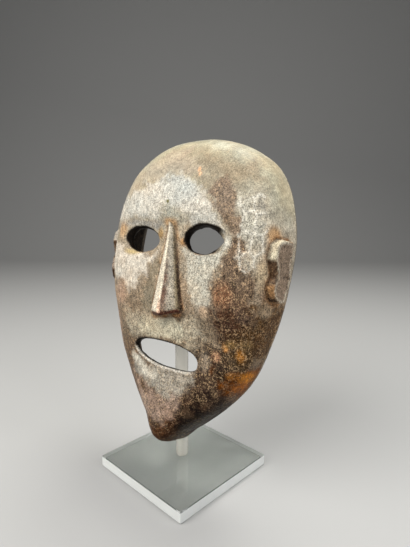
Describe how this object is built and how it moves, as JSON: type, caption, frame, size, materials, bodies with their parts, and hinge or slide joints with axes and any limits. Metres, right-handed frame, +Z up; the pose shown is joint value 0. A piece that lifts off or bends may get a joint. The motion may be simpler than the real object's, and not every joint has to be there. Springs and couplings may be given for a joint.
{
  "type": "shaman mask",
  "caption": "Carved wooden face mask with a wedge nose, pierced oval eyes and mouth and small ears, held upright by a clear rod on a clear square plate.",
  "frame": {"origin": "centre of the plate's underside", "axes": "+Z up, the face looks along -Y, the mask's own left side is +X"},
  "size_m": [0.1883, 0.1214, 0.3024],
  "materials": {
    "carved_wood": "old hand-carved wood, worn and polished by handling, with a dark brown and grey-beige patina",
    "clear_acrylic": "clear polished acrylic"
  },
  "bodies": {
    "root": {"mask": "carved_wood", "stand_rod": "clear_acrylic", "stand_base": "clear_acrylic"}
  },
  "joints": []
}
